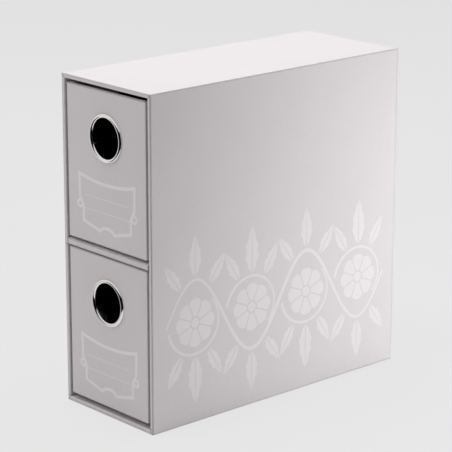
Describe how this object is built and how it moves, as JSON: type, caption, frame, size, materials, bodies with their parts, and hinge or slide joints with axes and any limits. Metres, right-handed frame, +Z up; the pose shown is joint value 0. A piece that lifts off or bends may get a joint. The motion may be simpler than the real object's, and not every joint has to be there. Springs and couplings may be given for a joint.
{
  "type": "playing card box",
  "caption": "Upright paper-covered greyboard box for rows of playing cards: a case with a fixed shelf and pull-out drawers, each with a metal-ringed finger hole in its front.",
  "frame": {"origin": "under the middle of the outline, on the surface that the box stands on", "axes": "+Z up, +Y towards the box's closed back, -Y the way the drawers pull out, +X to the right as seen from the front"},
  "size_m": [0.083, 0.208, 0.21],
  "materials": {
    "printed_paper": "satin laminate, pale pearl grey",
    "cover_paper": "uncoated white",
    "lining_paper": "matt black",
    "greyboard": "raw grey board",
    "black_board": "matt black board, dyed through",
    "nickel": "bright nickel plate on steel"
  },
  "bodies": {
    "case": {"case_base_sheet": "cover_paper", "case_back_sheet": "cover_paper", "case_outer_wrap": "printed_paper", "case_base_board": "greyboard", "case_top_board": "greyboard", "case_left_board": "greyboard", "case_right_board": "greyboard", "case_back_board": "greyboard", "case_lining": "lining_paper", "shelf_board": "greyboard", "shelf_wrap": "printed_paper", "lower_bay_pad": "black_board", "upper_bay_pad": "black_board"},
    "upper_drawer": {"upper_drawer_wrap": "printed_paper", "upper_drawer_front_board": "greyboard", "upper_drawer_back_board": "greyboard", "upper_drawer_left_board": "greyboard", "upper_drawer_right_board": "greyboard", "upper_drawer_bottom_board": "greyboard", "upper_drawer_lining": "lining_paper", "upper_drawer_finger_ring": "nickel", "upper_drawer_ring_washer": "nickel"},
    "lower_drawer": {"lower_drawer_wrap": "printed_paper", "lower_drawer_front_board": "greyboard", "lower_drawer_back_board": "greyboard", "lower_drawer_left_board": "greyboard", "lower_drawer_right_board": "greyboard", "lower_drawer_bottom_board": "greyboard", "lower_drawer_lining": "lining_paper", "lower_drawer_finger_ring": "nickel", "lower_drawer_ring_washer": "nickel"}
  },
  "joints": [
    {"name": "upper_drawer_slide", "type": "slide", "parent": "case", "child": "upper_drawer", "axis": [0, -1, 0], "range_m": [0, 0.21]},
    {"name": "lower_drawer_slide", "type": "slide", "parent": "case", "child": "lower_drawer", "axis": [0, -1, 0], "range_m": [0, 0.21]}
  ]
}
